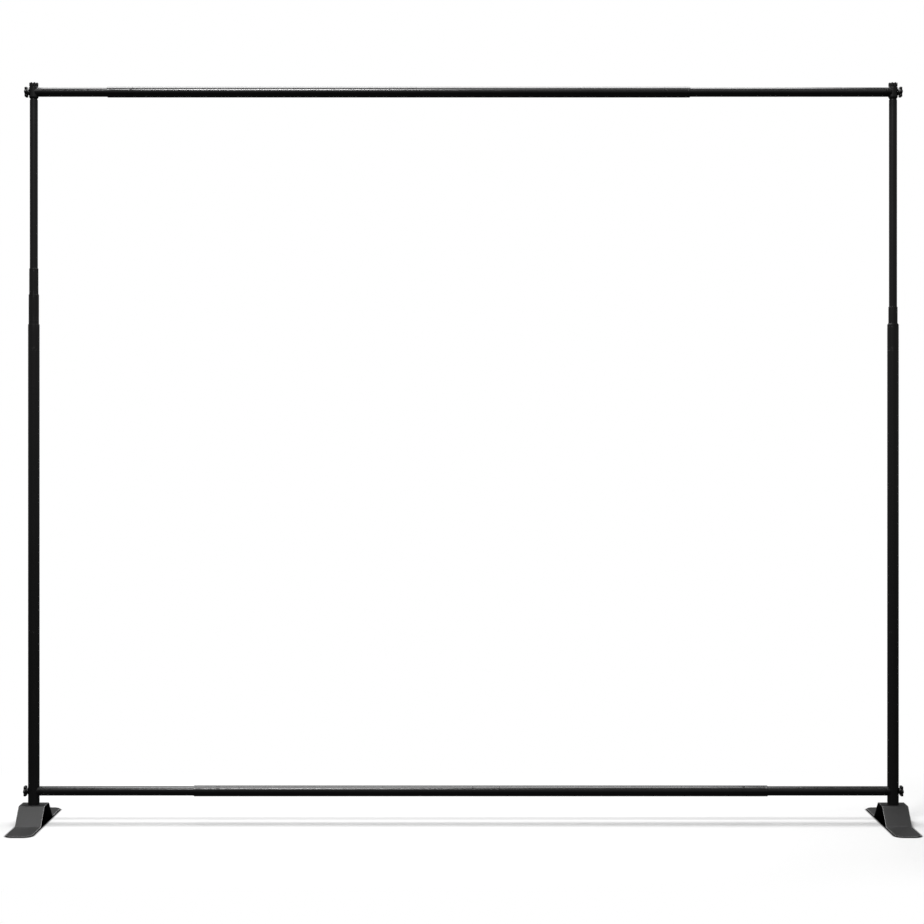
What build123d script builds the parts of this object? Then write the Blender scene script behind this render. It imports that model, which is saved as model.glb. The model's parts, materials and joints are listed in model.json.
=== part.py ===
"""Telescopic banner frame: two posts on bent steel feet and two telescopic crossbars.

Millimetres, +Z up. X runs along the crossbars and Y runs along the feet. The origin is
on the floor, half way between the two posts.
"""

import os

from build123d import *

# Frame
post_spacing = 3048.0
bottom_bar_height = 112.0
top_bar_height = 2591.0

# Foot, a bent steel plate
foot_length = 450.0
foot_width = 92.0
foot_plate = 4.0
ridge_height = 65.0
ridge_depth = 62.0
hump_depth = 172.0
bend_radius = 9.0
toe_corner_radius = 28.0

# Post tubes, from the floor up
main_outer = 40.0
second_outer = 36.0
third_outer = 32.0
top_outer = 28.0
post_wall = 1.5
joint_height = 679.0
joint_spigot_length = 60.0
nested_end_gap = 28.0
main_share = 0.42
post_grip_length = 92.0

# How far each sliding post tube stands out of the one below it
second_out = {"left": 106.0, "right": 3.0}
third_out = {"left": 92.0, "right": 59.0}

# Crossbar tubes
thick_outer = 38.0
thick_wall = 2.0
thin_outer = 33.0
thin_wall = 1.5
thin_length = 880.0
coupler_length = 95.0
coupler_spigot_length = 60.0
coupler_bore = 26.0
bar_grip_length = 90.0

# Length of each thick tube up to its grip, and the left post's axis to the left grip's mouth
thick_length = {
    "top": {"left": 910.0, "right": 880.0},
    "bottom": {"left": 898.0, "right": 860.0},
}
left_mouth = {"top": 262.0, "bottom": 569.0}

# Chamfer on the tube ends that show
end_chamfer = 0.6

# Twist grips and the slotted necks under them
neck_wall = 0.5
grip_lip = 3.0
grip_groove_width = 1.2
grip_groove_depth = 0.35
grip_groove_inset = 8.0
slot_count = 4
slot_width = 3.0
slot_length = 50.0

# Guide bushes at the hidden ends of the sliding tubes
guide_length = 12.0
guide_spigot_length = 24.0
guide_wall = 2.5
guide_chamfer = 1.0
guide_margin = 4.0

# Saddle ends of the crossbars
saddle_tip = 6.5
saddle_collar_end = 31.0
saddle_spigot_length = 30.0
saddle_thread_depth = 38.0
saddle_groove_at = 23.0
saddle_groove_width = 1.4
saddle_groove_depth = 0.8

# Top fitting of each post
barrel_diameter = 33.0
barrel_height = 34.0
fitting_neck_diameter = 27.0
fitting_skirt_length = 22.0
fitting_flange_height = 3.0
fitting_drop = 50.0
fitting_spigot_length = 40.0
crown_neck_diameter = 24.0
crown_neck_height = 3.0
crown_diameter = 32.0
crown_height = 12.5
crown_lobes = 8
crown_flute_radius = 4.0
crown_notch_radius = 2.6
crown_dish_diameter = 21.0
crown_rounding = 1.0

# Star knobs
knob_diameter = 40.0
knob_lobes = 6
knob_lobe_radius = 5.5
knob_core_diameter = 29.0
knob_web_fillet = 2.5
knob_head_thickness = 8.0
knob_head_rounding = 1.8
knob_dish_diameter = 24.0
knob_dish_depth = 1.6
knob_hub_length = 5.5
knob_hub_diameter = 22.0
knob_hub_top_diameter = 27.0
screw_diameter = 8.0
screw_in_knob = 9.0
screw_in_saddle = 16.0

# Foot bolt and the threaded plug in the bottom of the post
bolt_diameter = 10.0
bolt_head_width = 17.0
bolt_head_height = 6.4
bolt_flange_diameter = 24.0
bolt_flange_thickness = 2.0
bolt_hole_clearance = 0.5
base_plug_length = 30.0
bolt_engagement = 24.0

# Clearances
seat_gap = 0.3
running_gap = 0.2
guide_gap = 0.3
push_gap = 0.05
cut_margin = 1.0

# Sizes that follow from those above
half_spacing = post_spacing / 2
main_length = main_share * top_bar_height
main_mouth_height = joint_height + main_length
second_length = main_length - joint_spigot_length - nested_end_gap
second_bore = second_outer - 2 * post_wall
third_bore = third_outer - 2 * post_wall
top_bore = top_outer - 2 * post_wall
main_bore = main_outer - 2 * post_wall
thick_bore = thick_outer - 2 * thick_wall
thin_bore = thin_outer - 2 * thin_wall
nested_step = guide_length + guide_spigot_length + guide_margin
third_length = second_length - nested_step
top_length = third_length - nested_step
fitting_base_height = top_bar_height - fitting_drop


def save(piece, name):
    """Label a finished piece and write it to its own file."""
    piece.part.label = name
    export_step(piece.part, f"parts/{name}.step")


def locking_tube(start, length, outer, wall, grip_length):
    """Tube along the plane's normal, with its far end thinned to a slotted neck for a grip."""
    bore = outer - 2 * wall
    shoulder = length - grip_length
    neck_length = grip_length - grip_lip - seat_gap
    with BuildPart() as tube:
        with BuildSketch(start):
            Circle(outer / 2)
            Circle(bore / 2, mode=Mode.SUBTRACT)
        extrude(amount=shoulder)
        shoulder_face = tube.faces().sort_by(Axis(start.origin, start.z_dir))[-1]
        chamfer(shoulder_face.outer_wire().edges(), length=end_chamfer)
        with BuildSketch(start.offset(shoulder)):
            Circle(bore / 2 + neck_wall)
            Circle(bore / 2, mode=Mode.SUBTRACT)
        extrude(amount=neck_length)
        with BuildSketch(start.offset(shoulder + neck_length - slot_length)):
            with PolarLocations(bore / 2, slot_count):
                Rectangle(2 * neck_wall + 2 * cut_margin, slot_width)
        extrude(amount=slot_length, mode=Mode.SUBTRACT)
    return tube


def twist_grip(mouth, grip_length, outer, wall):
    """Sleeve flush with its tube, with a lip that covers the neck's end at the mouth plane."""
    bore = outer - 2 * wall
    base = mouth.offset(seat_gap - grip_length)
    sleeve_length = grip_length - seat_gap
    with BuildPart() as grip:
        with BuildSketch(base):
            Circle(outer / 2)
        extrude(amount=sleeve_length)
        chamfer(grip.edges().filter_by(GeomType.CIRCLE), length=end_chamfer)
        for inset in (grip_groove_inset, sleeve_length - grip_groove_inset):
            with BuildSketch(base.offset(inset)):
                Circle(outer / 2 + cut_margin)
                Circle(outer / 2 - grip_groove_depth, mode=Mode.SUBTRACT)
            extrude(amount=grip_groove_width / 2, both=True, mode=Mode.SUBTRACT)
        with BuildSketch(base):
            Circle(bore / 2)
        extrude(amount=sleeve_length, mode=Mode.SUBTRACT)
        with BuildSketch(base):
            Circle(bore / 2 + neck_wall + running_gap)
        extrude(amount=sleeve_length - grip_lip, mode=Mode.SUBTRACT)
    return grip


def plain_tube(start, length, outer, wall):
    """Plain tube that starts at the plane and runs along its normal."""
    with BuildPart() as tube:
        with BuildSketch(start):
            Circle(outer / 2)
            Circle(outer / 2 - wall, mode=Mode.SUBTRACT)
        extrude(amount=length)
    return tube


def guide_bush(start, own_bore, outer_bore):
    """Bush at the hidden end of a sliding tube: it rubs in the outer bore, its spigot in its own."""
    with BuildPart() as bush:
        with BuildSketch(start):
            Circle(outer_bore / 2 - guide_gap)
        extrude(amount=guide_length)
        chamfer(bush.edges().filter_by(GeomType.CIRCLE), length=guide_chamfer)
        with BuildSketch(start.offset(guide_length)):
            Circle(own_bore / 2 - push_gap)
        extrude(amount=guide_spigot_length)
        with BuildSketch(start):
            Circle(own_bore / 2 - guide_wall)
        extrude(amount=guide_length + guide_spigot_length, mode=Mode.SUBTRACT)
    return bush


def saddle_end(axis, seat_diameter):
    """Crossbar end that hugs a post: the plane is on the post's axis and faces along the bar."""
    with BuildPart() as saddle:
        with BuildSketch(axis.offset(saddle_tip)):
            Circle(thin_outer / 2)
        extrude(amount=saddle_collar_end - saddle_tip)
        with BuildSketch(axis.offset(saddle_collar_end)):
            Circle(thin_bore / 2 - push_gap)
        extrude(amount=saddle_spigot_length)
        with BuildSketch(Plane(origin=axis.origin, z_dir=(0, 0, 1))):
            Circle(seat_diameter / 2 + seat_gap)
        extrude(amount=thin_outer, both=True, mode=Mode.SUBTRACT)
        with BuildSketch(axis.offset(saddle_groove_at)):
            Circle(thin_outer / 2 + cut_margin)
            Circle(thin_outer / 2 - saddle_groove_depth, mode=Mode.SUBTRACT)
        extrude(amount=saddle_groove_width, mode=Mode.SUBTRACT)
        with BuildSketch(axis):
            Circle(screw_diameter / 2 + running_gap)
        extrude(amount=seat_diameter / 2 + saddle_thread_depth, mode=Mode.SUBTRACT)
    return saddle


def star_knob(face):
    """Lobed knob whose hub starts at the plane and whose head lies out along its normal."""
    lobe_centre = knob_diameter / 2 - knob_lobe_radius
    with BuildPart() as knob:
        with BuildSketch(face.offset(knob_hub_length)) as head:
            Circle(knob_core_diameter / 2)
            with PolarLocations(lobe_centre, knob_lobes):
                Circle(knob_lobe_radius)
            fillet(head.vertices(), radius=knob_web_fillet)
        extrude(amount=knob_head_thickness)
        outer_face = knob.faces().sort_by(Axis(face.origin, face.z_dir))[-1]
        fillet(outer_face.edges(), radius=knob_head_rounding)
        with BuildSketch(face):
            Circle(knob_hub_diameter / 2)
        with BuildSketch(face.offset(knob_hub_length)):
            Circle(knob_hub_top_diameter / 2)
        loft()
        with BuildSketch(face.offset(knob_hub_length + knob_head_thickness)):
            Circle(knob_dish_diameter / 2)
        extrude(amount=-knob_dish_depth, mode=Mode.SUBTRACT)
        with BuildSketch(face):
            Circle(screw_diameter / 2)
        extrude(amount=screw_in_knob, mode=Mode.SUBTRACT)
    return knob


def knob_screw(face, seat_diameter):
    """Stud moulded into a knob: through the post and into the saddle on its other side."""
    reach = seat_gap + seat_diameter + seat_gap + screw_in_saddle
    with BuildPart() as screw:
        with BuildSketch(face.offset(screw_in_knob)):
            Circle(screw_diameter / 2)
        extrude(amount=-(screw_in_knob + reach))
        chamfer(screw.edges().filter_by(GeomType.CIRCLE), length=screw_diameter / 8)
    return screw


def foot(post):
    """Steel plate bent to a hump: flat toe, ramp, ridge under the post, ramp, flat toe."""
    half_length = foot_length / 2
    half_hump = hump_depth / 2
    half_ridge = ridge_depth / 2
    low = foot_plate / 2
    high = ridge_height - foot_plate / 2
    side_plane = Plane.YZ.offset(post.origin.X - foot_width / 2)
    with BuildPart() as plate:
        with BuildSketch(side_plane):
            with BuildLine() as middle:
                FilletPolyline(
                    (-half_length, low),
                    (-half_hump, low),
                    (-half_ridge, high),
                    (half_ridge, high),
                    (half_hump, low),
                    (half_length, low),
                    radius=bend_radius,
                )
            trace(middle.line, line_width=foot_plate)
        extrude(amount=foot_width)
        toe_corners = (
            plate.edges().filter_by(Axis.Z).filter_by_position(Axis.Z, 0, foot_plate)
        )
        fillet(toe_corners, radius=toe_corner_radius)
        with BuildSketch(Plane(post.origin)):
            Circle(bolt_diameter / 2 + bolt_hole_clearance)
        extrude(amount=ridge_height, mode=Mode.SUBTRACT)
    return plate


def foot_bolt(post):
    """Flanged hexagon bolt, up through the ridge into the plug in the post's bottom."""
    under = ridge_height - foot_plate
    with BuildPart() as bolt:
        with BuildSketch(Plane(post.origin).offset(under)):
            Circle(bolt_flange_diameter / 2)
        extrude(amount=-bolt_flange_thickness)
        with BuildSketch(Plane(post.origin).offset(under - bolt_flange_thickness)):
            RegularPolygon(bolt_head_width / 2, 6, major_radius=False)
        extrude(amount=-bolt_head_height)
        with BuildSketch(Plane(post.origin).offset(under)):
            Circle(bolt_diameter / 2)
        extrude(amount=foot_plate + bolt_engagement)
    return bolt


def base_plug(post):
    """Threaded plug in the bottom of the lower tube."""
    with BuildPart() as plug:
        with BuildSketch(Plane(post.origin).offset(ridge_height)):
            Circle(main_bore / 2 - push_gap)
            Circle(bolt_diameter / 2, mode=Mode.SUBTRACT)
        extrude(amount=base_plug_length)
    return plug


def lower_tube(post):
    """Bottom tube of a post, with a cross hole for the bar's screw and a necked-in spigot on top."""
    with BuildPart() as tube:
        with BuildSketch(Plane(post.origin).offset(ridge_height)):
            Circle(main_outer / 2)
        extrude(amount=joint_height - ridge_height)
        joint_face = tube.faces().sort_by(Axis.Z)[-1]
        chamfer(joint_face.edges(), length=end_chamfer)
        with BuildSketch(Plane(post.origin).offset(joint_height)):
            Circle(main_bore / 2 - push_gap)
        extrude(amount=joint_spigot_length)
        tip = tube.faces().sort_by(Axis.Z)[-1]
        chamfer(tip.edges(), length=post_wall / 2)
        with BuildSketch(Plane(post.origin).offset(ridge_height)):
            Circle(main_bore / 2)
        extrude(amount=joint_height - ridge_height - post_wall, mode=Mode.SUBTRACT)
        with BuildSketch(Plane(post.origin).offset(ridge_height)):
            Circle(main_bore / 2 - post_wall)
        extrude(amount=joint_height + joint_spigot_length, mode=Mode.SUBTRACT)
        with BuildSketch(Plane(origin=(post.origin.X, 0, bottom_bar_height), z_dir=(1, 0, 0))):
            Circle(screw_diameter / 2 + running_gap)
        extrude(amount=main_outer, both=True, mode=Mode.SUBTRACT)
    return tube


def top_fitting(post):
    """Moulded top of a post: spigot, flush skirt, waist, barrel for the saddle and a lobed crown."""
    skirt_top = fitting_base_height + fitting_skirt_length
    barrel_low = top_bar_height - barrel_height / 2
    barrel_high = top_bar_height + barrel_height / 2
    waist = skirt_top + fitting_flange_height
    skirt = top_outer / 2
    neck = fitting_neck_diameter / 2
    barrel = barrel_diameter / 2
    crown = crown_diameter / 2
    crown_low = barrel_high + crown_neck_height
    crown_high = crown_low + crown_height
    with BuildPart() as fitting:
        with BuildSketch(Plane(post.origin, x_dir=(1, 0, 0), z_dir=(0, -1, 0))):
            with BuildLine():
                Polyline(
                    (0, fitting_base_height),
                    (skirt, fitting_base_height),
                    (skirt, skirt_top),
                    (neck, waist),
                )
                Spline((neck, waist), (barrel, barrel_low), tangents=((0, 1), (0, 1)))
                Line((barrel, barrel_low), (barrel, barrel_high))
                Polyline(
                    (barrel, barrel_high),
                    (crown_neck_diameter / 2, barrel_high),
                    (crown_neck_diameter / 2, crown_low),
                    (0, crown_low),
                    (0, fitting_base_height),
                )
            make_face()
        revolve(axis=Axis(post.origin, (0, 0, 1)))
        with BuildSketch(Plane(post.origin).offset(crown_low)) as lobes:
            Circle(crown)
            with PolarLocations(crown + crown_flute_radius / 2, crown_lobes):
                Circle(crown_flute_radius, mode=Mode.SUBTRACT)
            fillet(lobes.vertices(), radius=crown_rounding)
        extrude(amount=crown_height)
        crown_top = fitting.faces().sort_by(Axis.Z)[-1]
        chamfer(crown_top.edges(), length=crown_rounding)
        with BuildSketch(Plane(post.origin).offset(crown_high)):
            Circle(crown_dish_diameter / 2)
        extrude(amount=-crown_notch_radius, mode=Mode.SUBTRACT)
        with Locations((post.origin.X, 0, crown_high)):
            with PolarLocations(crown, crown_lobes):
                Cylinder(crown_notch_radius, crown, rotation=(0, 90, 0), mode=Mode.SUBTRACT)
        with BuildSketch(Plane(post.origin).offset(fitting_base_height)):
            Circle(top_bore / 2 - push_gap)
        extrude(amount=-fitting_spigot_length)
        with BuildSketch(Plane(origin=(post.origin.X, 0, top_bar_height), z_dir=(1, 0, 0))):
            Circle(screw_diameter / 2 + running_gap)
        extrude(amount=barrel_diameter, both=True, mode=Mode.SUBTRACT)
    return fitting


def bar_coupler(left_face):
    """Sleeve that joins the two halves of a crossbar, with a spigot into each thick tube."""
    with BuildPart() as coupler:
        with BuildSketch(left_face):
            Circle(thick_outer / 2)
        extrude(amount=coupler_length)
        chamfer(coupler.edges().filter_by(GeomType.CIRCLE), length=end_chamfer)
        with BuildSketch(left_face.offset(-coupler_spigot_length)):
            Circle(thick_bore / 2 - push_gap)
        extrude(amount=coupler_length + 2 * coupler_spigot_length)
        with BuildSketch(left_face.offset(-coupler_spigot_length)):
            Circle(coupler_bore / 2)
        extrude(amount=coupler_length + 2 * coupler_spigot_length, mode=Mode.SUBTRACT)
    return coupler


os.makedirs("parts", exist_ok=True)

sides = {"left": -1, "right": 1}
bars = {"bottom": bottom_bar_height, "top": top_bar_height}
seats = {"bottom": main_outer, "top": barrel_diameter}

# Posts
for side, sign in sides.items():
    post = Plane((sign * half_spacing, 0, 0))
    main_mouth = post.offset(main_mouth_height)
    second_mouth = main_mouth.offset(second_out[side])
    third_mouth = second_mouth.offset(third_out[side])

    save(foot(post), f"{side}_foot")
    save(foot_bolt(post), f"{side}_foot_bolt")
    save(base_plug(post), f"{side}_base_plug")
    save(lower_tube(post), f"{side}_lower_tube")

    main_start = post.offset(joint_height)
    save(locking_tube(main_start, main_length, main_outer, post_wall, post_grip_length),
         f"{side}_main_tube")
    save(twist_grip(main_mouth, post_grip_length, main_outer, post_wall), f"{side}_main_grip")

    second_start = second_mouth.offset(-second_length)
    save(guide_bush(second_start, second_bore, main_bore), f"{side}_second_guide")
    save(locking_tube(second_start.offset(guide_length), second_length - guide_length,
                      second_outer, post_wall, post_grip_length), f"{side}_second_tube")
    save(twist_grip(second_mouth, post_grip_length, second_outer, post_wall),
         f"{side}_second_grip")

    third_start = third_mouth.offset(-third_length)
    save(guide_bush(third_start, third_bore, second_bore), f"{side}_third_guide")
    save(locking_tube(third_start.offset(guide_length), third_length - guide_length,
                      third_outer, post_wall, post_grip_length), f"{side}_third_tube")
    save(twist_grip(third_mouth, post_grip_length, third_outer, post_wall), f"{side}_third_grip")

    top_start = post.offset(fitting_base_height - top_length)
    save(guide_bush(top_start, top_bore, third_bore), f"{side}_top_guide")
    save(plain_tube(top_start.offset(guide_length), top_length - guide_length,
                    top_outer, post_wall), f"{side}_top_tube")
    save(top_fitting(post), f"{side}_top_fitting")

# Crossbars
for bar, height in bars.items():
    for side, sign in sides.items():
        post_x = sign * half_spacing
        inward = Plane(origin=(post_x, 0, height), x_dir=(0, 1, 0), z_dir=(-sign, 0, 0))
        outward = Plane(origin=(post_x, 0, height), x_dir=(0, 1, 0), z_dir=(sign, 0, 0))

        save(saddle_end(inward, seats[bar]), f"{bar}_{side}_saddle")
        thin_start = inward.offset(saddle_collar_end)
        save(plain_tube(thin_start, thin_length - guide_length, thin_outer, thin_wall),
             f"{bar}_{side}_thin_tube")
        thin_end = outward.offset(-saddle_collar_end - thin_length)
        save(guide_bush(thin_end, thin_bore, thick_bore), f"{bar}_{side}_guide")

        knob_face = outward.offset(seats[bar] / 2 + seat_gap)
        save(star_knob(knob_face), f"{bar}_{side}_knob")
        save(knob_screw(knob_face, seats[bar]), f"{bar}_{side}_knob_screw")

    coupler_left = (left_mouth[bar] + bar_grip_length + thick_length[bar]["left"]) - half_spacing
    coupler_faces = {"left": coupler_left, "right": coupler_left + coupler_length}
    for side, sign in sides.items():
        half_length = thick_length[bar][side] + bar_grip_length
        thick_start = Plane(origin=(coupler_faces[side], 0, height), x_dir=(0, 1, 0),
                            z_dir=(sign, 0, 0))
        save(locking_tube(thick_start, half_length, thick_outer, thick_wall, bar_grip_length),
             f"{bar}_{side}_thick_tube")
        save(twist_grip(thick_start.offset(half_length), bar_grip_length, thick_outer,
                        thick_wall), f"{bar}_{side}_grip")
    save(bar_coupler(Plane(origin=(coupler_left, 0, height), x_dir=(0, 1, 0), z_dir=(1, 0, 0))),
         f"{bar}_coupler")
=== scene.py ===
"""Looks of the telescopic banner frame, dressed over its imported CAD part.

Metres, in the CAD part's frame: X along the crossbars, Y along the feet, +Z up.
"""

import json
import logging
from collections.abc import Callable, Sequence
from dataclasses import dataclass, field
from enum import Enum
from math import atan2, cos, hypot, pi, radians, sin, sqrt

import bmesh
import bpy
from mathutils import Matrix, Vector


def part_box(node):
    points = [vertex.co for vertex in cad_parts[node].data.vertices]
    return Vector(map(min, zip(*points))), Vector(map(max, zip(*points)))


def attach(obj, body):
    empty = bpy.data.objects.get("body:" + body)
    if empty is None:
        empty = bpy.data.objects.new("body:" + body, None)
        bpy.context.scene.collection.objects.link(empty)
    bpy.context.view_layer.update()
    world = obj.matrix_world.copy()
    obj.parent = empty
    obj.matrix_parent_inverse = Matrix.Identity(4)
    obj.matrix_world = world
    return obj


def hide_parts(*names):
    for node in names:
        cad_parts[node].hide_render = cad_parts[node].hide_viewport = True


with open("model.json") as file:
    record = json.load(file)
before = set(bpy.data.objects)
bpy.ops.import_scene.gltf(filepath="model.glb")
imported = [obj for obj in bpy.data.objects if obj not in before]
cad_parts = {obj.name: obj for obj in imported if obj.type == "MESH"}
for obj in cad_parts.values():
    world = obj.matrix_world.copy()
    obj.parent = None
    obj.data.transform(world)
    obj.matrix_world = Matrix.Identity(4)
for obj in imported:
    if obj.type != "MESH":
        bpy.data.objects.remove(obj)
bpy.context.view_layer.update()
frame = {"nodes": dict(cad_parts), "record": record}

LOG = logging.getLogger("banner_frame")

Colour = tuple[float, float, float]
Corner = tuple[float, float]
Place = tuple[float, float, float]
MM = 0.001
SEAT_GAP = 0.3 * MM
PUSH_GAP = 0.05 * MM
GRIP_CAVITY = 0.7 * MM
GRIP_GAP = 0.3 * MM
NECK_WALL = 0.5 * MM
SMALL_TURNED_STEPS = 48


class Run(Enum):
    """Direction in which a turned piece or a grain runs."""

    UP = (0.0, 0.0, 1.0)
    LEFT = (-1.0, 0.0, 0.0)
    RIGHT = (1.0, 0.0, 0.0)

    @property
    def along(self) -> Vector:
        """Unit vector of the direction."""
        return Vector(self.value)

    @property
    def across(self) -> Vector:
        """Unit vector square to the direction, on which profiles are drawn."""
        return Vector((0.0, 1.0, 0.0))


class Side(Enum):
    """One of the two posts, as the front view shows them."""

    LEFT = "left"
    RIGHT = "right"

    @property
    def inward(self) -> Run:
        """Direction from this post to the other one."""
        return Run.RIGHT if self is Side.LEFT else Run.LEFT

    @property
    def outward(self) -> Run:
        """Direction from this post away from the frame."""
        return Run.LEFT if self is Side.LEFT else Run.RIGHT


class Bar(Enum):
    """One of the two crossbars."""

    TOP = "top"
    BOTTOM = "bottom"


# Shader graphs


class Wire:
    """A socket's value in a shader graph, for use in Python expressions."""

    def __init__(self, graph: "Graph", socket: bpy.types.NodeSocket) -> None:
        """Keep the graph and the output socket."""
        self.graph = graph
        self.socket = socket

    def _maths(self, operation: str, *values: object, clamp: bool = False) -> "Wire":
        """Add one Math node.

        Args:
            operation: The node's operation.
            values: Its inputs in order, wires or numbers.
            clamp: Whether the result is kept between 0 and 1.

        Returns:
            The node's result.
        """
        settings = {"operation": operation, "use_clamp": clamp}
        return self.graph.node("ShaderNodeMath", settings, dict(enumerate(values)))

    def __add__(self, other: object) -> "Wire":
        """Sum."""
        return self._maths("ADD", self, other)

    __radd__ = __add__

    def __mul__(self, other: object) -> "Wire":
        """Product."""
        return self._maths("MULTIPLY", self, other)

    __rmul__ = __mul__

    def __sub__(self, other: object) -> "Wire":
        """Difference."""
        return self._maths("SUBTRACT", self, other)

    def __rsub__(self, other: object) -> "Wire":
        """Difference with the wire on the right."""
        return self._maths("SUBTRACT", other, self)

    def __abs__(self) -> "Wire":
        """Absolute value."""
        return self._maths("ABSOLUTE", self)

    def root(self) -> "Wire":
        """Square root."""
        return self._maths("SQRT", self)

    def larger(self, other: object) -> "Wire":
        """The larger of two values."""
        return self._maths("MAXIMUM", self, other)

    def ramp(self, low: float, high: float) -> "Wire":
        """Rise smoothly from 0 at low to 1 at high.

        Args:
            low: Value that gives 0.
            high: Value that gives 1.

        Returns:
            The mask.
        """
        settings = {"interpolation_type": "SMOOTHSTEP"}
        return self.graph.node("ShaderNodeMapRange", settings,
                               {"Value": self, "From Min": low, "From Max": high})


class Graph:
    """A node tree with one method that makes any node."""

    def __init__(self, tree: bpy.types.NodeTree) -> None:
        """Start from an empty tree."""
        self.tree = tree
        tree.nodes.clear()

    def node(self, kind: str, settings: dict[str, object], sockets: dict[int | str, object],
             output: int | str = 0) -> Wire:
        """Add a node.

        Args:
            kind: Node type.
            settings: Attributes of the node, set before its sockets.
            sockets: Values or wires of its inputs, by name or number.
            output: Output to return.

        Returns:
            The chosen output.
        """
        made = self.tree.nodes.new(kind)
        for name, value in settings.items():
            setattr(made, name, value)
        for name, value in sockets.items():
            if isinstance(value, Wire):
                self.tree.links.new(value.socket, made.inputs[name])
            else:
                made.inputs[name].default_value = value
        return Wire(self, made.outputs[output])

    def blend(self, share: object, low: object, high: object) -> Wire:
        """Mix two colours.

        Args:
            share: How much of the second colour shows.
            low: First colour.
            high: Second colour.

        Returns:
            The mixed colour.
        """
        colours = [(*c, 1.0) if isinstance(c, tuple) else c for c in (low, high)]
        return self.node("ShaderNodeMix", {"data_type": "RGBA"},
                         {0: share, 6: colours[0], 7: colours[1]}, output=2)

    def place(self, owner: bpy.types.Object | None = None) -> Wire:
        """Object coordinates.

        Args:
            owner: Object to measure from, or none for the one that has the material.

        Returns:
            The coordinates.
        """
        return self.node("ShaderNodeTexCoord", {"object": owner}, {}, output="Object")

    def along(self, place: Wire, axis: str) -> Wire:
        """One of a place's coordinates."""
        return self.node("ShaderNodeSeparateXYZ", {}, {0: place}, output=axis)

    def noise(self, scale: float, detail: float = 3.0,
              stretch: tuple[float, float, float] = (1.0, 1.0, 1.0)) -> Wire:
        """Noise on Object coordinates.

        Args:
            scale: Features per metre.
            detail: Octaves.
            stretch: Scale of each axis.

        Returns:
            The noise, from 0 to 1.
        """
        spot = self.node("ShaderNodeMapping", {}, {"Vector": self.place(), "Scale": stretch})
        return self.node("ShaderNodeTexNoise", {},
                         {"Vector": spot, "Scale": scale, "Detail": detail})

    def facing_up(self) -> Wire:
        """How much the surface faces up, from -1 to 1."""
        return self.along(self.node("ShaderNodeNewGeometry", {}, {}, output="Normal"), "Z")

    def sharp_edge_band(self, width: float) -> Wire:
        """How near the surface is to a sharp edge.

        Args:
            width: Width of the band along the edge.

        Returns:
            The mask, 0 on flat faces and rising towards an edge.
        """
        flat = self.node("ShaderNodeNewGeometry", {}, {}, output="Normal")
        rounded = self.node("ShaderNodeBevel", {"samples": 4}, {"Radius": width})
        same = self.node("ShaderNodeVectorMath", {"operation": "DOT_PRODUCT"},
                         {0: flat, 1: rounded}, output="Value")
        return (1.0 - same).ramp(0.01, 0.12)

    def bump(self, height: Wire, depth: float, strength: float) -> Wire:
        """Normal of a surface with fine relief.

        Args:
            height: Relief, from 0 to 1.
            depth: Full depth in metres.
            strength: How much of it shows.

        Returns:
            The normal.
        """
        return self.node("ShaderNodeBump", {},
                         {"Height": height, "Distance": depth, "Strength": strength})

    def finish(self, shader: Wire, kind: str = "ShaderNodeOutputMaterial") -> None:
        """Join a shader to the tree's output."""
        made = self.tree.nodes.new(kind)
        self.tree.links.new(shader.socket, made.inputs["Surface"])


# Finishes


@dataclass(frozen=True)
class Patterns:
    """How much each pattern changes a finish's colour or its roughness."""

    cloud: float
    streaks: float
    dust: float
    edge_wear_and_highlight: float
    grain: float = 0.0


IN_COLOUR = Patterns(cloud=0.5, streaks=0.5, dust=0.25, edge_wear_and_highlight=0.8, grain=0.6)
IN_ROUGHNESS = Patterns(cloud=0.07, streaks=0.08, dust=0.06, edge_wear_and_highlight=0.06)


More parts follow.
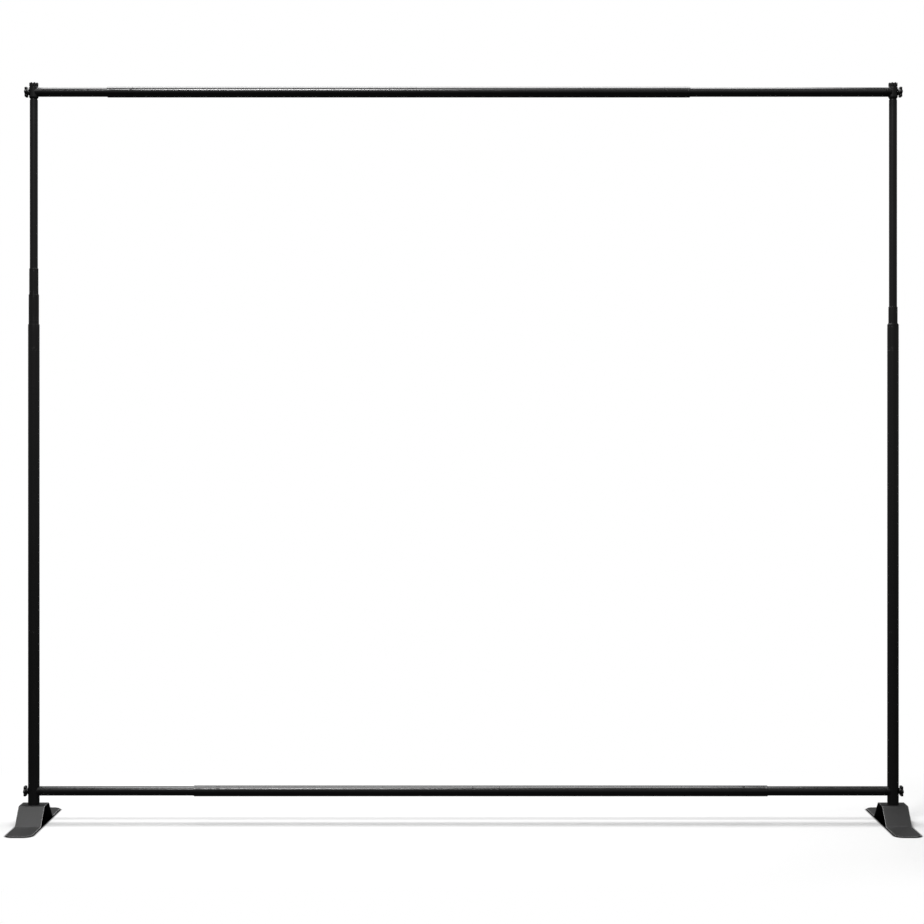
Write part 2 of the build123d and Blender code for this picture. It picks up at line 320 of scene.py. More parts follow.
@dataclass(frozen=True)
class Finish:
    """A surface finish that makes its own material."""

    name: str
    slot: str
    colour: Colour
    worn: Colour
    roughness: float
    shine: float
    grain: float
    grain_depth: float
    # Colour of rubbed edges that face up: edge wear, and where this colour is light, a painted
    # highlight as well.
    edge: Colour = (0.020, 0.020, 0.0205)
    edge_width: float = 0.8 * MM
    metallic: float = 0.0
    run: Run | None = None

    def _streaks(self, graph: Graph) -> Wire:
        """Noise that is drawn out along the finish's run.

        Args:
            graph: Graph of the material.

        Returns:
            The noise, from 0 to 1.
        """
        stretch = (1.0, 1.0, 1.0)
        if self.run is Run.UP:
            stretch = (40.0, 40.0, 0.6)
        elif self.run is not None:
            stretch = (0.6, 40.0, 40.0)
        return graph.noise(9.0, 4.0, stretch)

    def material(self) -> bpy.types.Material:
        """Build the material, once for each finish.

        Returns:
            The material.
        """
        found = bpy.data.materials.get(self.name)
        if found is not None:
            return found
        made = bpy.data.materials.new(self.name)
        made.use_nodes = True
        graph = Graph(made.node_tree)
        cloud = graph.noise(7.0, 4.0)
        grain = graph.noise(self.grain, 2.0)
        streaks = self._streaks(graph)
        dust = graph.facing_up().ramp(0.3, 1.0) * graph.noise(60.0, 5.0).ramp(0.35, 0.75)
        # Rubbed edges that face up, where the light falls, take the edge colour: edge wear, and a
        # painted highlight where that colour is light.
        rubbed_and_lit = graph.noise(90.0, 4.0).ramp(0.1, 0.55) * graph.facing_up().ramp(0.1, 0.5)
        edge_wear_and_highlight = graph.sharp_edge_band(self.edge_width) * rubbed_and_lit
        share = ((cloud - 0.5) * IN_COLOUR.cloud + (streaks - 0.5) * IN_COLOUR.streaks
                 + (grain - 0.5) * IN_COLOUR.grain + dust * IN_COLOUR.dust)
        base = graph.blend(share.ramp(-0.35, 0.6), self.colour, self.worn)
        colour = graph.blend(edge_wear_and_highlight * IN_COLOUR.edge_wear_and_highlight, base, self.edge)
        rough = (self.roughness + (streaks - 0.5) * IN_ROUGHNESS.streaks
                 + (cloud - 0.5) * IN_ROUGHNESS.cloud
                 + dust * IN_ROUGHNESS.dust - edge_wear_and_highlight * IN_ROUGHNESS.edge_wear_and_highlight)
        normal = graph.bump(grain, self.grain_depth, 0.5)
        shader = graph.node(
            "ShaderNodeBsdfPrincipled", {},
            {"Base Color": colour, "Roughness": rough, "Normal": normal,
             "Metallic": self.metallic, "Specular IOR Level": self.shine},
        )
        graph.finish(shader)
        return made


POST_COAT = Finish("post_coat", "black_tube", (0.0025, 0.0025, 0.0026), (0.0060, 0.0060, 0.0062),
                   0.34, 0.8, 650.0, 0.00006, run=Run.UP)
BAR_COAT = Finish("bar_coat", "black_tube", (0.0025, 0.0025, 0.0026), (0.0060, 0.0060, 0.0062),
                  0.23, 0.8, 650.0, 0.00006, run=Run.RIGHT)
# The foot's near-white edge colour is a painted highlight along its upward edges, over their wear.
FOOT_COAT = Finish("foot_coat", "foot_steel", (0.009, 0.009, 0.0092), (0.024, 0.024, 0.0244),
                   0.46, 0.9, 900.0, 0.00025, edge=(0.80, 0.80, 0.802), edge_width=4.0 * MM)
# The light edge colours of the cast and moulded finishes paint a highlight on their upward edges,
# such as the ring on the top fittings, over their wear.
CAST_COAT = Finish("cast_coat", "cast_alloy", (0.0035, 0.0035, 0.0036), (0.0095, 0.0095, 0.0097),
                   0.32, 0.5, 420.0, 0.00012, edge=(0.12, 0.12, 0.122))
MOULDED = Finish("moulded_plastic", "black_plastic", (0.0035, 0.0035, 0.0036),
                 (0.0085, 0.0085, 0.0087), 0.34, 0.7, 1400.0, 0.00005,
                 edge=(0.16, 0.16, 0.162), edge_width=1.2 * MM)
ACETAL = Finish("acetal", "guide_plastic", (0.10, 0.10, 0.102), (0.15, 0.15, 0.152),
                0.4, 0.5, 800.0, 0.00004, edge=(0.2, 0.2, 0.202))
ZINC = Finish("zinc_plate", "zinc_steel", (0.50, 0.50, 0.52), (0.66, 0.66, 0.66),
              0.34, 0.5, 500.0, 0.00005, edge=(0.8, 0.8, 0.8), metallic=1.0)


# Modelling by operators


def pick_up(piece: bpy.types.Object) -> None:
    """Select one object alone and make it active."""
    bpy.ops.object.select_all(action="DESELECT")
    piece.select_set(True)
    bpy.context.view_layer.objects.active = piece


def start_at(name: str, point: Vector) -> bpy.types.Object:
    """Start a piece as one vertex and stay in edit mode.

    Args:
        name: Name of the piece.
        point: Place of the vertex.

    Returns:
        The piece, in edit mode with the vertex selected.
    """
    bpy.ops.object.select_all(action="DESELECT")
    bpy.ops.mesh.primitive_plane_add(size=MM, location=point)
    piece = bpy.context.active_object
    piece.name = name
    piece.data.name = name
    bpy.ops.object.mode_set(mode="EDIT")
    bpy.ops.mesh.select_mode(type="VERT")
    bpy.ops.mesh.select_all(action="SELECT")
    bpy.ops.mesh.merge(type="CENTER")
    return piece


def draw(points: Sequence[Vector], closed: bool) -> None:
    """Draw on from the selected vertex through more points.

    Args:
        points: All the points, the first one being the vertex already there.
        closed: Whether the last point is joined back to the first one.
    """
    stops = [*points, points[0]] if closed else list(points)
    for here, there in zip(stops, stops[1:]):
        bpy.ops.mesh.extrude_vertices_move(TRANSFORM_OT_translate={"value": there - here})
    bpy.ops.mesh.select_all(action="SELECT")
    bpy.ops.mesh.remove_doubles(threshold=0.01 * MM)


def leave(piece: bpy.types.Object) -> None:
    """Leave edit mode with the faces turned outwards and the object at the origin."""
    bpy.ops.mesh.select_all(action="SELECT")
    bpy.ops.mesh.remove_doubles(threshold=0.01 * MM)
    bpy.ops.mesh.normals_make_consistent(inside=False)
    bpy.ops.object.mode_set(mode="OBJECT")
    pick_up(piece)
    bpy.ops.object.transform_apply(location=True, rotation=True, scale=True)


def choose(piece: bpy.types.Object, wanted: Callable[[bmesh.types.BMFace], bool]) -> int:
    """Select the faces of a piece in edit mode that pass a test.

    Args:
        piece: The piece, in edit mode.
        wanted: Test of one face.

    Returns:
        How many faces are selected.
    """
    bpy.ops.mesh.select_mode(type="FACE")
    bpy.ops.mesh.select_all(action="DESELECT")
    shape = bmesh.from_edit_mesh(piece.data)
    found = [face for face in shape.faces if wanted(face)]
    for face in found:
        face.select_set(True)
    bmesh.update_edit_mesh(piece.data)
    return len(found)


def round_edges(piece: bpy.types.Object, width: float, steps: int = 2,
                angle: float = 35.0) -> bpy.types.Object:
    """Round off a piece's sharp edges and shade it smoothly.

    Args:
        piece: The finished shape.
        width: Width of the rounding in metres.
        steps: Faces across the rounding.
        angle: Least angle in degrees that counts as an edge.

    Returns:
        The piece.
    """
    pick_up(piece)
    bevel = piece.modifiers.new("rounding", "BEVEL")
    bevel.width = width
    bevel.segments = steps
    bevel.limit_method = "ANGLE"
    bevel.angle_limit = radians(angle)
    bevel.use_clamp_overlap = True
    bpy.ops.object.modifier_apply(modifier=bevel.name)
    bpy.ops.object.shade_smooth_by_angle(angle=radians(angle))
    weighted = piece.modifiers.new("flat_faces", "WEIGHTED_NORMAL")
    weighted.keep_sharp = True
    bpy.ops.object.modifier_apply(modifier=weighted.name)
    return piece


def turned(name: str, profile: Sequence[Corner], start: Vector, run: Run,
           rounding: float = 0.4 * MM, steps: int = 72) -> bpy.types.Object:
    """Turn a closed profile round an axis, as on a lathe.

    Args:
        name: Name of the piece.
        profile: Corners as distance along the axis and radius, in metres.
        start: Point of the axis from which distances count.
        run: Direction of the axis.
        rounding: Width of the rounding of its edges.
        steps: Faces round the axis.

    Returns:
        The piece.
    """
    points = [start + run.along * along + run.across * radius for along, radius in profile]
    piece = start_at(name, points[0])
    draw(points, closed=True)
    bpy.ops.mesh.select_all(action="SELECT")
    bpy.ops.mesh.spin(steps=steps, angle=2 * pi, center=start, axis=run.along)
    leave(piece)
    return round_edges(piece, rounding)


def rounded_end(at: float, radius: float, size: float, low: bool = False,
                steps: int = 4) -> list[Corner]:
    """Quarter-round outer edge of a turned piece.

    Args:
        at: Distance along the axis at which the piece ends.
        radius: Outer radius.
        size: Radius of the rounding.
        low: Whether it is the end at which the piece starts.
        steps: Straight parts of the rounding.

    Returns:
        The profile's corners in order of distance.
    """
    way = -1 if low else 1
    turns = [pi / 2 * step / steps for step in range(steps + 1)]
    corners = [(at - way * size * (1 - sin(turn)), radius - size * (1 - cos(turn)))
               for turn in turns]
    return corners[::-1] if low else corners


def soft_join(first: float, second: float, sharpness: float) -> float:
    """Larger of two radii, or the smaller one, with the corner between them rounded.

    Args:
        first: One radius.
        second: The other radius.
        sharpness: Above zero for the larger one and below zero for the smaller one.

    Returns:
        The joined radius.
    """
    return (first ** sharpness + second ** sharpness) ** (1 / sharpness)


def circle_on_ray(centre: float, radius: float, turn: float, far: bool) -> float:
    """Distance at which a ray from the middle of a disc meets a circle that lies off-centre.

    Args:
        centre: Distance of the circle's centre from the middle.
        radius: The circle's radius.
        turn: Angle between the ray and the circle's centre.
        far: Whether the far crossing is wanted and not the near one.

    Returns:
        The distance, or that of the closest approach where the ray passes the circle by.
    """
    half_chord = sqrt(max(radius ** 2 - (centre * sin(turn)) ** 2, 0.0))
    return centre * cos(turn) + (half_chord if far else -half_chord)


def outline(reach: Callable[[float], float], lobes: int, fineness: int) -> list[Corner]:
    """Closed outline that repeats round a disc.

    Args:
        reach: Radius at an angle from the middle of a lobe.
        lobes: Number of lobes.
        fineness: Points for each lobe.

    Returns:
        The outline's points in order, the first one in the middle of a lobe.
    """
    pitch = 2 * pi / lobes
    steps = [(step / fineness - 0.5) * pitch for step in range(fineness)]
    turns = [(lobe * pitch + step, reach(step)) for lobe in range(lobes) for step in steps]
    return [(radius * cos(turn), radius * sin(turn)) for turn, radius in turns]


def lobed_disc(name: str, ring: Sequence[Corner], centre: Vector, run: Run,
               thickness: float) -> bpy.types.Object:
    """Thick disc with a given outline, left in edit mode with its outer face selected.

    Args:
        name: Name of the piece.
        ring: Points round the disc.
        centre: Middle of its inner face.
        run: Direction of its thickness.
        thickness: Its thickness.

    Returns:
        The piece, in edit mode.
    """
    across = run.across
    other = run.along.cross(across)
    points = [centre + across * x + other * y for x, y in ring]
    piece = start_at(name, points[0])
    draw(points, closed=True)
    bpy.ops.mesh.edge_face_add()
    bpy.ops.mesh.extrude_region_move(TRANSFORM_OT_translate={"value": run.along * thickness})
    bpy.ops.mesh.select_mode(type="FACE")
    return piece


def dress(piece: bpy.types.Object, finish: Finish, body: str, *nodes: str) -> bpy.types.Object:
    """Give a finished piece its material, its body and the CAD nodes it stands for.

    Args:
        piece: The finished piece.
        finish: Its finish.
        body: CAD body it moves with.
        nodes: CAD nodes it replaces.

    Returns:
        The piece.
    """
    piece.data.materials.clear()
    piece.data.materials.append(finish.material())
    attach(piece, body)
    if nodes:
        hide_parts(*nodes)
    LOG.info("%s: %d faces, %s, on %s", piece.name, len(piece.data.polygons), finish.name, body)
    return piece


BODY_OF = {node: body for body, nodes in frame["record"]["behaviour"]["bodies"].items()
           for node in nodes}


# Sub-assemblies


@dataclass
class Post:
    """Everything on one post above its foot."""

    side: Side
    wall: float = 1.5 * MM
    mouth_edge: float = 0.9 * MM
    groove: float = 0.45 * MM
    groove_inset: float = 8.0 * MM
    lip: float = 3.0 * MM
    skirt_length: float = 22.0 * MM
    bevel: float = 1.9 * MM
    barrel_height: float = 34.0 * MM
    barrel_edge: float = 0.6 * MM
    crown_neck_radius: float = 12.0 * MM
    crown_neck_height: float = 3.0 * MM
    crown_radius: float = 16.0 * MM
    crown_height: float = 12.5 * MM
    crown_lobes: int = 8
    crown_rim: float = 3.4 * MM
    flute: float = 4.0 * MM
    notch: float = 2.6 * MM
    notch_steps: tuple[float, ...] = (11.5, 9.0, 6.0)
    crown_rounding: float = 0.7 * MM
    flute_reach: float = 12.0
    lobe_sharpness: float = -40.0
    lobe_points: int = 16
    swell_steps: int = 5
    fitting_rounding: float = 0.25 * MM

    @property
    def axis(self) -> float:
        """X of the post's axis."""
        low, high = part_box(f"{self.side.value}_lower_tube")
        return (low.x + high.x) / 2

    def _name(self, part: str) -> str:
        """Name of one of this post's CAD nodes."""
        return f"{self.side.value}_{part}"

    def tube(self, part: str) -> bpy.types.Object:
        """Tube with a rounded top end, in place of its CAD node.

        Args:
            part: The tube's name without its side.

        Returns:
            The tube.
        """
        node = self._name(part)
        low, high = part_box(node)
        outer = (high.x - low.x) / 2
        bore = outer - self.wall
        length = high.z - low.z
        start = Vector((self.axis, 0, low.z))
        profile = [(0, bore), (0, outer), *rounded_end(length, outer, self.mouth_edge),
                   (length, bore)]
        piece = turned(f"{node}_looks", profile, start, Run.UP, self.wall / 6)
        return dress(piece, POST_COAT, BODY_OF[node], node)

    def gripped_tube(self, part: str, grip: str) -> bpy.types.Object:
        """Tube whose top is thinned to a neck under its grip.

        Args:
            part: The tube's name without its side.
            grip: The grip's name without its side.

        Returns:
            The tube.
        """
        node = self._name(part)
        low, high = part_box(node)
        outer = (high.x - low.x) / 2
        bore = outer - self.wall
        length = high.z - low.z
        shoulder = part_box(self._name(grip))[0].z - low.z - GRIP_GAP
        start = Vector((self.axis, 0, low.z))
        profile = [(0, bore), (0, outer), *rounded_end(shoulder, outer, self.mouth_edge),
                   (shoulder, bore + NECK_WALL), (length, bore + NECK_WALL), (length, bore)]
        piece = turned(f"{node}_looks", profile, start, Run.UP, self.wall / 6)
        return dress(piece, POST_COAT, BODY_OF[node], node)

    def lower_tube(self) -> bpy.types.Object:
        """Bottom tube with the necked spigot of the push joint."""
        node = self._name("lower_tube")
        low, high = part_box(node)
        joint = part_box(self._name("main_tube"))[0].z
        outer = (high.x - low.x) / 2
        spigot = outer - self.wall - PUSH_GAP
        bore = outer - 2 * self.wall
        length = high.z - low.z
        step = joint - low.z
        profile = [(0, outer - self.wall), (0, outer),
                   *rounded_end(step, outer, self.mouth_edge), (step, spigot),
                   (length - self.wall / 2, spigot), (length, spigot - self.wall / 2),
                   (length, bore), (step - self.wall, bore), (step - self.wall, outer - self.wall)]
        start = Vector((self.axis, 0, low.z))
        piece = turned(f"{node}_looks", profile, start, Run.UP, self.wall / 6)
        return dress(piece, POST_COAT, BODY_OF[node], node)

    def grip(self, part: str) -> bpy.types.Object:
        """Twist grip: flush sleeve with a rounded mouth and a groove near each end.

        Args:
            part: The grip's name without its side.

        Returns:
            The grip.
        """
        node = self._name(part)
        low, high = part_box(node)
        outer = (high.x - low.x) / 2
        length = high.z - low.z
        start = Vector((self.axis, 0, low.z))
        profile = grip_profile(length, outer, outer - self.wall, self.mouth_edge,
                               self.groove, self.groove_inset, self.lip)
        piece = turned(f"{node}_looks", profile, start, Run.UP, self.groove / 4)
        return dress(piece, POST_COAT, BODY_OF[node], node)

    def fitting(self) -> bpy.types.Object:
        """Moulded top of the post: skirt, bright bevel, waist and barrel, and the crown on it."""
        node = self._name("top_fitting")
        low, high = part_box(node)
        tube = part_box(self._name("top_tube"))
        skirt = (tube[1].x - tube[0].x) / 2
        barrel = (high.x - low.x) / 2
        base = tube[1].z
        spigot = skirt - self.wall - PUSH_GAP
        foot = low.z - base
        crown_low = high.z - self.crown_height
        barrel_high = crown_low - self.crown_neck_height - base
        barrel_low = barrel_high - self.barrel_height
        waist_low = self.skirt_length + self.bevel
        profile = [(foot, 0.0), (foot, spigot), (0, spigot), (0, skirt),
                   (self.skirt_length, skirt), (waist_low, skirt - self.bevel)]
        for step in range(1, self.swell_steps):
            share = step / self.swell_steps
            swell = share * share * (3 - 2 * share)
            profile.append((waist_low + (barrel_low - waist_low) * share,
                            skirt - self.bevel + (barrel - skirt + self.bevel) * swell))
        profile += [(barrel_low, barrel), (barrel_high - self.barrel_edge, barrel),
                    (barrel_high, barrel - self.barrel_edge),
                    (barrel_high, self.crown_neck_radius),
                    (crown_low + self.barrel_edge - base, self.crown_neck_radius),
                    (crown_low + self.barrel_edge - base, 0.0)]
        start = Vector((self.axis, 0, base))
        body = turned(f"{node}_looks", profile, start, Run.UP, self.fitting_rounding)
        dress(body, MOULDED, BODY_OF[node], node)
        return self._crown(node, crown_low)

    def _crown(self, node: str, low: float) -> bpy.types.Object:
        """Crown of eight fluted lobes, with a dished top and a notch between each two lobes.

        Args:
            node: CAD node that the crown is part of.
            low: Height of its underside.

        Returns:
            The crown.
        """
        half_pitch = pi / self.crown_lobes

        def reach(turn: float) -> float:
            """Radius at an angle from the middle of a lobe, cut in by the flute beside it."""
            beside = min(half_pitch - abs(turn), radians(self.flute_reach))
            flute = circle_on_ray(self.crown_radius + self.flute / 2, self.flute, beside, False)
            return soft_join(self.crown_radius, flute, self.lobe_sharpness)

        across, along = cos(half_pitch), sin(half_pitch)
        ring = [(-y * along + x * across, x * along + y * across)
                for x, y in outline(reach, self.crown_lobes, self.lobe_points)]
        crown = lobed_disc(f"{node}_crown", ring, Vector((self.axis, 0, low)), Run.UP,
                           self.crown_height)
        bpy.ops.mesh.inset(thickness=self.crown_rim)
        sink = {"value": (0, 0, -self.notch)}
        bpy.ops.mesh.extrude_region_move(TRANSFORM_OT_translate=sink)
        for half_width in self.notch_steps:
            self._choose_notches(crown, half_width)
            bpy.ops.transform.translate(value=(0, 0, -self.notch / len(self.notch_steps)))
        leave(crown)
        round_edges(crown, self.crown_rounding, 3)
        return dress(crown, MOULDED, BODY_OF[node])

    def _choose_notches(self, crown: bpy.types.Object, half_width: float) -> None:
        """Select the points of the crown's rim that lie in a notch.

        Args:
            crown: The crown, in edit mode.
            half_width: Half the width of a notch in degrees.
        """
        bpy.ops.mesh.select_mode(type="VERT")
        bpy.ops.mesh.select_all(action="DESELECT")
        shape = bmesh.from_edit_mesh(crown.data)
        middle = crown.location - Vector((self.axis, 0, 0))
        top = max(vert.co.z for vert in shape.verts)
        pitch = 360 / self.crown_lobes
        for vert in shape.verts:
            x, y = vert.co.x + middle.x, vert.co.y + middle.y
            beside = (atan2(y, x) * 180 / pi + pitch / 2) % pitch - pitch / 2
            outside = hypot(x, y) > self.crown_radius - self.flute / 2 - self.crown_rim - MM
            if outside and vert.co.z > top - self.notch - MM and abs(beside) < half_width:
                vert.select_set(True)
        bmesh.update_edit_mesh(crown.data)

    def build(self) -> None:
        """Build and dress every piece of the post."""
        self.lower_tube()
        self.gripped_tube("main_tube", "main_grip")
        self.gripped_tube("second_tube", "second_grip")
        self.gripped_tube("third_tube", "third_grip")
        self.tube("top_tube")
        for part in ("main_grip", "second_grip", "third_grip"):
            self.grip(part)
        self.fitting()


def grip_profile(length: float, outer: float, bore: float, edge: float, groove: float,
                 inset: float, lip: float) -> list[Corner]:
    """Profile of a twist grip, from its base to its mouth.

    Args:
        length: Length of the grip.
        outer: Outer radius.
        bore: Radius of the tube's bore.
        edge: Rounding of the mouth, twice that of the base.
        groove: Depth of the grooves.
        inset: Distance of the grooves from the ends.
        lip: Thickness of the lip at the mouth.

    Returns:
        The profile's corners.
    """
    cavity = bore + GRIP_CAVITY
    profile = [(0, cavity), *rounded_end(0, outer, edge / 2, low=True)]
    for place in (inset, length - inset):
        profile += [(place - groove * 1.5, outer), (place, outer - groove),
                    (place + groove * 1.5, outer)]
    profile += [*rounded_end(length, outer, edge), (length, bore), (length - lip, bore),
                (length - lip, cavity)]
    return profile


@dataclass
class Crossbar:
    """One telescopic crossbar with its saddles and knobs."""

    bar: Bar
    thick_wall: float = 2.0 * MM
    thin_wall: float = 1.5 * MM
    edge: float = 0.9 * MM
    groove: float = 0.7 * MM
    groove_inset: float = 8.0 * MM
    saddle_groove_inset: float = 7.3 * MM
    lip: float = 3.0 * MM
    coupler_bore: float = 13.0 * MM
    knob_radius: float = 20.0 * MM
    knob_core: float = 14.5 * MM
    knob_lobe: float = 5.5 * MM
    knob_lobes: int = 6
    knob_edge: float = 1.4 * MM
    knob_dish: float = 1.6 * MM
    knob_dish_radius: float = 12.0 * MM
    knob_hub_length: float = 5.5 * MM
    knob_hub_radii: tuple[float, float] = (11.0 * MM, 13.4 * MM)
    knob_hub_stations: tuple[float, float] = (0.4, 0.75)
    knob_sharpness: float = 16.0
    knob_shrink: float = 0.9995
    knob_lobe_points: int = 20
    saddle_rounding: float = 0.5 * MM
    seat_cutter_height: float = 80.0 * MM
    seat_cutter_sides: int = 96

    def _name(self, side: Side, part: str) -> str:
        """Name of one of this bar's CAD nodes."""
        return f"{self.bar.value}_{side.value}_{part}"

    def _ends(self, node: str, run: Run) -> tuple[Vector, float, float]:
        """Where a node starts along a direction, its length and its radius.

        Args:
            node: CAD node.
            run: Direction along the bar.

        Returns:
            Start point on the axis, length and outer radius.
        """
        low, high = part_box(node)
        height = (low.z + high.z) / 2
        begin = low.x if run is Run.RIGHT else high.x
        return Vector((begin, 0, height)), high.x - low.x, (high.z - low.z) / 2

    def thin_tube(self, side: Side) -> bpy.types.Object:
        """Thin tube at one end of the bar."""
        node = self._name(side, "thin_tube")
        start, length, outer = self._ends(node, side.inward)
        bore = outer - self.thin_wall
        profile = [(0, bore), (0, outer), (length, outer), (length, bore)]
        piece = turned(f"{node}_looks", profile, start, side.inward, self.thin_wall / 3)
        return dress(piece, BAR_COAT, BODY_OF[node], node)

    def thick_tube(self, side: Side) -> bpy.types.Object:
        """Thick tube from the coupler to its grip, with the neck under the grip."""
        node = self._name(side, "thick_tube")
        start, length, outer = self._ends(node, side.outward)
        bore = outer - self.thick_wall
        grip_length = self._ends(self._name(side, "grip"), side.outward)[1]
        shoulder = length - grip_length + self.lip
        profile = [(0, bore), *rounded_end(0, outer, self.edge, low=True),
                   *rounded_end(shoulder, outer, self.edge), (shoulder, bore + NECK_WALL),
                   (length, bore + NECK_WALL), (length, bore)]
        piece = turned(f"{node}_looks", profile, start, side.outward, self.edge / 4)
        return dress(piece, BAR_COAT, BODY_OF[node], node)

    def grip(self, side: Side) -> bpy.types.Object:
        """Twist grip at the end of a thick tube."""
        node = self._name(side, "grip")
        start, length, outer = self._ends(node, side.outward)
        profile = grip_profile(length, outer, outer - self.thick_wall, self.edge,
                               self.groove, self.groove_inset, self.lip)
        piece = turned(f"{node}_looks", profile, start, side.outward, self.groove / 4)
        return dress(piece, BAR_COAT, BODY_OF[node], node)

    def coupler(self) -> bpy.types.Object:
        """Sleeve in the middle of the bar, with rounded ends and a spigot into each half."""
        node = f"{self.bar.value}_coupler"
        start, length, outer = self._ends(node, Run.RIGHT)
        left_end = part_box(self._name(Side.LEFT, "thick_tube"))[1].x
        right_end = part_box(self._name(Side.RIGHT, "thick_tube"))[0].x
        near, far = left_end - start.x, right_end - start.x
        spigot = outer - self.thick_wall - PUSH_GAP
        bore = self.coupler_bore
        profile = [(0, bore), (0, spigot), (near, spigot),
                   *rounded_end(near, outer, self.edge, low=True),
                   *rounded_end(far, outer, self.edge), (far, spigot), (length, spigot),
                   (length, bore)]
        piece = turned(f"{node}_looks", profile, start, Run.RIGHT, self.edge / 4)
        return dress(piece, BAR_COAT, BODY_OF[node], node)

    def saddle(self, side: Side) -> bpy.types.Object:
        """Cast end that hugs the post, cut to its barrel, with a groove round its collar.

        Args:
            side: Post that it hugs.

        Returns:
            The saddle.
        """
        node = self._name(side, "saddle")
        low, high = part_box(node)
        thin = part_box(self._name(side, "thin_tube"))
        run = side.inward
        post = Post(side).axis
        axis = Vector((post, 0, (low.z + high.z) / 2))
        outer = (high.z - low.z) / 2
        collar_end = (thin[0].x - post) if side is Side.LEFT else (post - thin[1].x)
        reach = (high.x - post) if side is Side.LEFT else (post - low.x)
        tip = (low.x - post) if side is Side.LEFT else (post - high.x)
        spigot = outer - self.thin_wall - PUSH_GAP
        at = collar_end - self.saddle_groove_inset
        half = self.groove
        profile = [(tip, 0.0), (tip, outer), (at - half, outer),
                   (at - half / 2, outer - self.groove), (at + half / 2, outer - self.groove),
                   (at + half, outer), *rounded_end(collar_end, outer, self.edge),
                   (collar_end, spigot), (reach, spigot), (reach, 0.0)]
        piece = turned(f"{node}_looks", profile, axis, run, 0.15 * MM)
        hugged = f"{side.value}_{'lower_tube' if self.bar is Bar.BOTTOM else 'top_fitting'}"
        seat_low, seat_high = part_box(hugged)
        seat = (seat_high.x - seat_low.x) / 2 + SEAT_GAP
        bpy.ops.object.select_all(action="DESELECT")
        bpy.ops.mesh.primitive_cylinder_add(vertices=self.seat_cutter_sides, radius=seat,
                                            depth=self.seat_cutter_height, location=axis)
        cutter = bpy.context.active_object
        pick_up(piece)
        cut = piece.modifiers.new("seat", "BOOLEAN")
        cut.operation = "DIFFERENCE"
        cut.solver = "EXACT"
        cut.object = cutter
        bpy.ops.object.modifier_apply(modifier=cut.name)
        bpy.data.objects.remove(cutter)
        round_edges(piece, self.saddle_rounding, 2, 50.0)
        return dress(piece, CAST_COAT, BODY_OF[node], node)

    def knob(self, side: Side) -> bpy.types.Object:
        """Star knob with a dished head on a flared hub.

        Args:
            side: Post that it is on.

        Returns:
            The head.
        """
        node = self._name(side, "knob")
        run = side.outward
        start, length, _ = self._ends(node, run)
        neck, flare = self.knob_hub_radii
        straight, halfway = self.knob_hub_stations
        profile = [(0, 0.0), (0, neck), (self.knob_hub_length * straight, neck),
                   (self.knob_hub_length * halfway, (neck + flare) / 2),
                   (self.knob_hub_length + self.knob_edge, flare),
                   (self.knob_hub_length + self.knob_edge, 0.0)]
        hub = turned(f"{node}_hub", profile, start, run, 0.3 * MM, SMALL_TURNED_STEPS)
        dress(hub, MOULDED, BODY_OF[node], node)

        def reach(turn: float) -> float:
            """Radius at an angle from the middle of a lobe: the lobe or the core beside it."""
            lobe = circle_on_ray(self.knob_radius - self.knob_lobe, self.knob_lobe, turn, True)
            return self.knob_shrink * soft_join(self.knob_core, lobe, self.knob_sharpness)

        ring = outline(reach, self.knob_lobes, self.knob_lobe_points)
        head = lobed_disc(f"{node}_head", ring,
                          start + run.along * self.knob_hub_length, run,
                          length - self.knob_hub_length)
        bpy.ops.mesh.inset(thickness=self.knob_core - self.knob_dish_radius)
        sink = {"value": run.along * -self.knob_dish}
        bpy.ops.mesh.extrude_region_move(TRANSFORM_OT_translate=sink)
        leave(head)
        round_edges(head, self.knob_edge, 4)
        return dress(head, MOULDED, BODY_OF[node])

    def build(self) -> None:
        """Build and dress every piece of the bar."""
        for side in Side:
            self.saddle(side)
            self.thin_tube(side)
            self.grip(side)
            self.thick_tube(side)
            self.knob(side)
        self.coupler()


